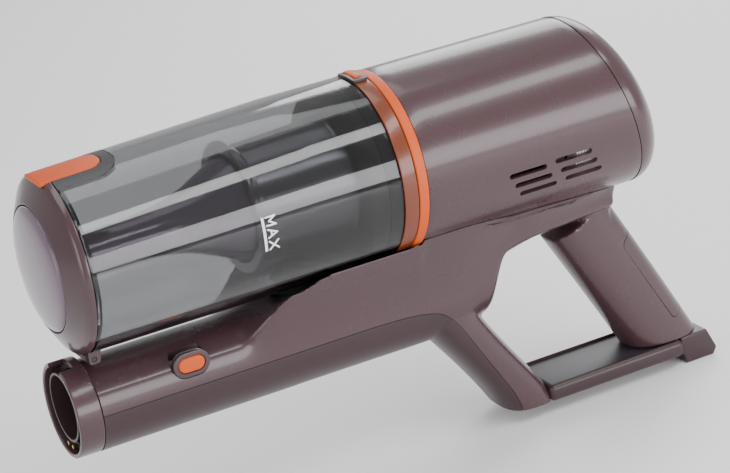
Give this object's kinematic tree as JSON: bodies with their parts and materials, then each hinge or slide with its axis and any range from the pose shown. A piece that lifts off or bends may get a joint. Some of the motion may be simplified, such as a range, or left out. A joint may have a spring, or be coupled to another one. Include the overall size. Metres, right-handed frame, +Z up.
{
  "type": "handheld vacuum",
  "caption": "Handheld cordless vacuum: motor barrel, clear dust cup with a hinged lid, wand nozzle under it, loop handle and base plate.",
  "frame": {"origin": "centre of the bounding box's footprint, on the floor plane under the rear foot", "axes": "+X from the lid to the handle, along the barrel; +Z up; +Y away from the side with the wand release button"},
  "size_m": [0.3884, 0.1006, 0.2192],
  "materials": {
    "body_mauve": "satin gloss, mauve-brown",
    "belly_brown": "satin, darker brown",
    "orange": "satin orange",
    "collar_brown": "translucent brown over orange",
    "smoke": "clear smoke-grey",
    "charcoal": "fine satin",
    "tray_grey": "satin grey-violet",
    "strip_grey": "frosted",
    "rubber": "matt",
    "steel": "plain",
    "brass": "plain",
    "aluminium": "machined",
    "copper_steel": "lacquered windings on laminations",
    "board_green": "solder mask",
    "cell_wrap": "shrink sleeve",
    "filter_white": "pleated fibre"
  },
  "bodies": {
    "main_body": {"accent_ring": "orange", "base_plate": "belly_brown", "base_tray": "tray_grey", "battery_cell_1": "cell_wrap", "battery_cell_2": "cell_wrap", "battery_cell_3": "cell_wrap", "battery_cell_4": "cell_wrap", "bearing_bracket_front": "aluminium", "bearing_bracket_rear": "aluminium", "bearing_front": "steel", "bearing_rear": "steel", "belly_cover": "belly_brown", "belly_strip": "strip_grey", "cell_holder": "charcoal", "contact_block": "charcoal", "contact_pin_left": "brass", "contact_pin_right": "brass", "duct_gasket": "rubber", "exhaust_filter": "filter_white", "grip_rear_panel": "body_mauve", "inlet_duct": "belly_brown", "main_board": "board_green", "motor_board": "board_green", "motor_can": "steel", "motor_housing": "body_mauve", "motor_mount_front": "rubber", "motor_mount_rear": "rubber", "nozzle_collar": "body_mauve", "rear_cap": "body_mauve", "rear_foot": "belly_brown", "release_bezel": "body_mauve", "spine_shell": "body_mauve", "stator": "copper_steel"},
    "rotor": {"rotor_shaft": "steel", "rotor_magnet": "steel", "impeller": "aluminium"},
    "cup": {"dust_cup": "smoke", "cup_collar": "collar_brown", "separator_body": "charcoal", "cup_seal": "rubber", "filter_cartridge": "filter_white", "filter_cap": "charcoal", "shroud": "smoke", "shroud_flange": "smoke", "core_tube": "smoke", "latch_housing": "charcoal", "button_surround": "charcoal", "hinge_lug_left": "charcoal", "hinge_lug_right": "charcoal", "hinge_pin": "steel"},
    "lid": {"front_cap": "body_mauve", "cap_disc": "body_mauve", "lid_seal": "rubber"},
    "lid_latch": {"lid_latch_tab": "orange"},
    "cup_release": {"cup_release_button": "orange"},
    "wand_release": {"wand_release_button": "orange"},
    "wand_pawl": {"latch_pawl": "charcoal"},
    "power": {"power_button": "charcoal"}
  },
  "joints": [
    {"name": "rotor_spin", "type": "hinge", "parent": "main_body", "child": "rotor", "pos_m": [0.05233, 0, 0.167], "axis": [1, 0, 0], "continuous": true},
    {"name": "cup_slide", "type": "slide", "parent": "main_body", "child": "cup", "axis": [-1, 0, 0], "range_m": [0, 0.12]},
    {"name": "lid_hinge", "type": "hinge", "parent": "cup", "child": "lid", "pos_m": [-0.17417, 0, 0.11393], "axis": [0, -1, 0], "range_deg": [0, 20]},
    {"name": "lid_latch", "type": "hinge", "parent": "cup", "child": "lid_latch", "pos_m": [-0.17867, 0, 0.21093], "axis": [0, 1, 0], "range_deg": [0, 2], "stiffness_Nm_per_rad": 0.6},
    {"name": "cup_release", "type": "slide", "parent": "cup", "child": "cup_release", "axis": [0, 0, -1], "range_m": [0, 0.0012], "stiffness_N_per_m": 600},
    {"name": "wand_release", "type": "slide", "parent": "main_body", "child": "wand_release", "axis": [0, 1, 0], "range_m": [0, 0.003], "stiffness_N_per_m": 500},
    {"name": "wand_pawl", "type": "slide", "parent": "main_body", "child": "wand_pawl", "axis": [0, 0, -1], "range_m": [0, 0.0018]},
    {"name": "power_press", "type": "slide", "parent": "main_body", "child": "power", "axis": [-1, 0, 0], "range_m": [0, 0.0015], "stiffness_N_per_m": 600}
  ],
  "couplings": [
    {"joint": "wand_pawl", "follows": "wand_release", "ratio": 0.6}
  ]
}
